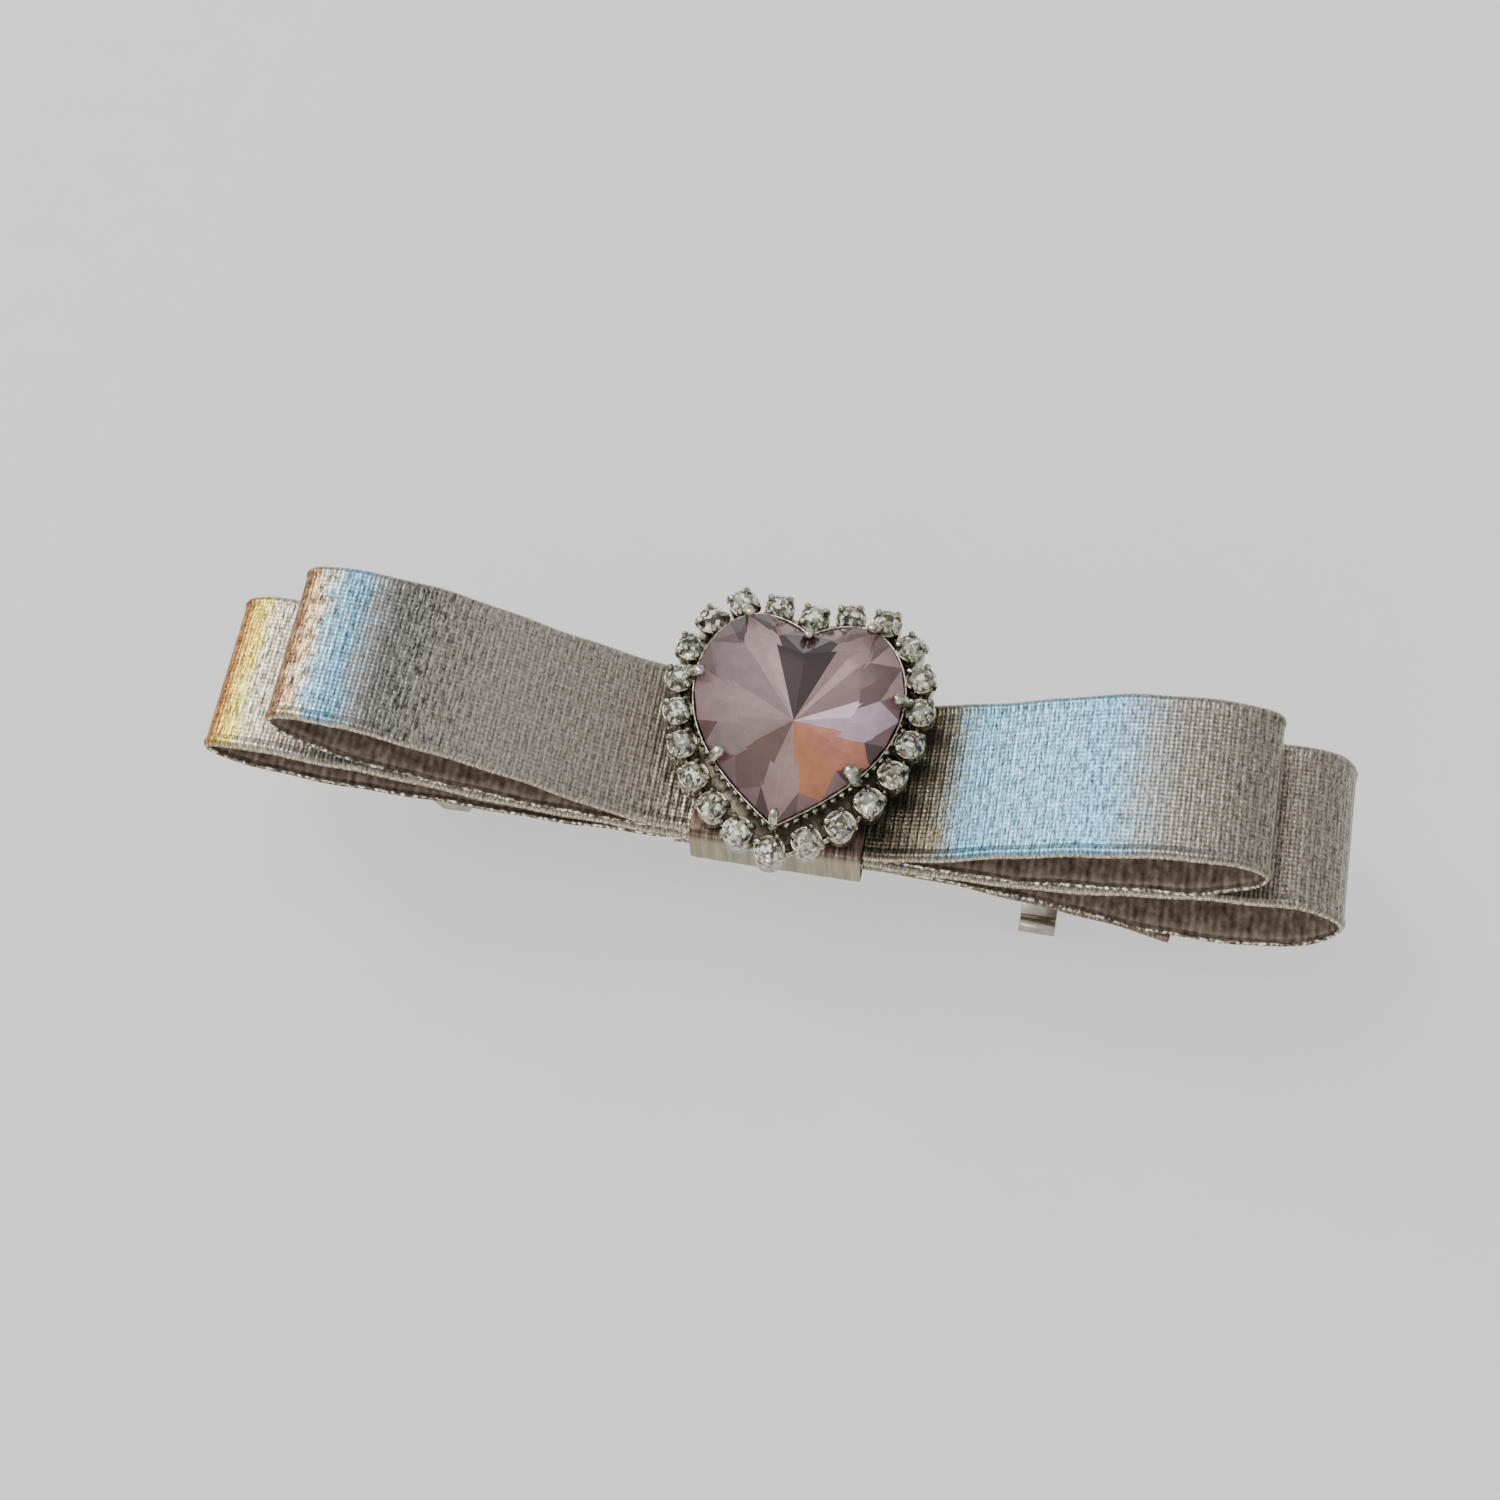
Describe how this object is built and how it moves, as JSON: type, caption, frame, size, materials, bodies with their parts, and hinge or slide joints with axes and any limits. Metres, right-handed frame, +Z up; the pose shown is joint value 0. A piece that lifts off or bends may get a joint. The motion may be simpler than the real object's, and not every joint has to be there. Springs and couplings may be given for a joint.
{
  "type": "bow barrette",
  "caption": "Hair barrette: double-looped metallic ribbon bow with a heart-cut stone in a cup-chain border, on a sprung French clip that opens at one end.",
  "frame": {"origin": "middle of the footprint, on the surface that the closed clip stands on", "axes": "+X along the bow towards the latch end of the clip, +Y across the ribbon towards the heart's lobes, +Z up out of the bow's face"},
  "size_m": [0.1036, 0.027, 0.0266],
  "materials": {
    "lame_ribbon": "ribbed metallic lame ribbon, satin metal sheen with cool and warm glints",
    "plated_steel": "nickel-plated spring steel, bright",
    "silver_setting": "silver-plated cast setting and cup chain, bright",
    "rose_glass": "foiled faceted glass, dusky rose",
    "crystal": "foiled faceted glass, clear with a champagne cast"
  },
  "bodies": {
    "bow": {"upper_ribbon_loop": "lame_ribbon", "lower_ribbon_loop": "lame_ribbon", "tail_ribbon": "lame_ribbon", "wrap_band": "lame_ribbon", "base_plate": "plated_steel", "hinge_pin": "plated_steel", "latch_bracket": "plated_steel", "latch_rivet": "plated_steel", "ornament_back": "silver_setting", "heart_setting": "silver_setting", "cup_chain": "silver_setting", "heart_stone": "rose_glass", "chain_stone_01": "crystal", "chain_stone_02": "crystal", "chain_stone_03": "crystal", "chain_stone_04": "crystal", "chain_stone_05": "crystal", "chain_stone_06": "crystal", "chain_stone_07": "crystal", "chain_stone_08": "crystal", "chain_stone_09": "crystal", "chain_stone_10": "crystal", "chain_stone_11": "crystal", "chain_stone_12": "crystal", "chain_stone_13": "crystal", "chain_stone_14": "crystal", "chain_stone_15": "crystal", "chain_stone_16": "crystal", "chain_stone_17": "crystal", "chain_stone_18": "crystal", "chain_stone_19": "crystal", "chain_stone_20": "crystal", "chain_stone_21": "crystal", "chain_stone_22": "crystal"},
    "clasp": {"clasp_bar": "plated_steel"},
    "tension_leaf": {"tension_spring": "plated_steel"},
    "front_arm": {"latch_arm_front": "plated_steel"},
    "back_arm": {"latch_arm_back": "plated_steel"}
  },
  "joints": [
    {"name": "clasp_hinge", "type": "hinge", "parent": "bow", "child": "clasp", "pos_m": [-0.0318, -0.00047, 0.0032], "axis": [0, 1, 0], "range_deg": [0, 65]},
    {"name": "tension_flex", "type": "hinge", "parent": "clasp", "child": "tension_leaf", "pos_m": [-0.0278, -0.00047, 0.0045], "axis": [0, 1, 0], "range_deg": [0, 1.1], "stiffness_Nm_per_rad": 0.02, "springref_deg": -1.72},
    {"name": "front_arm_flex", "type": "hinge", "parent": "bow", "child": "front_arm", "pos_m": [0.0255, -0.00462, 0.0084], "axis": [-1, 0, 0], "range_deg": [0, 8], "stiffness_Nm_per_rad": 0.0008, "springref_deg": -17.19},
    {"name": "back_arm_flex", "type": "hinge", "parent": "bow", "child": "back_arm", "pos_m": [0.0255, 0.00368, 0.0084], "axis": [1, 0, 0], "range_deg": [0, 8], "stiffness_Nm_per_rad": 0.0008, "springref_deg": -17.19}
  ]
}
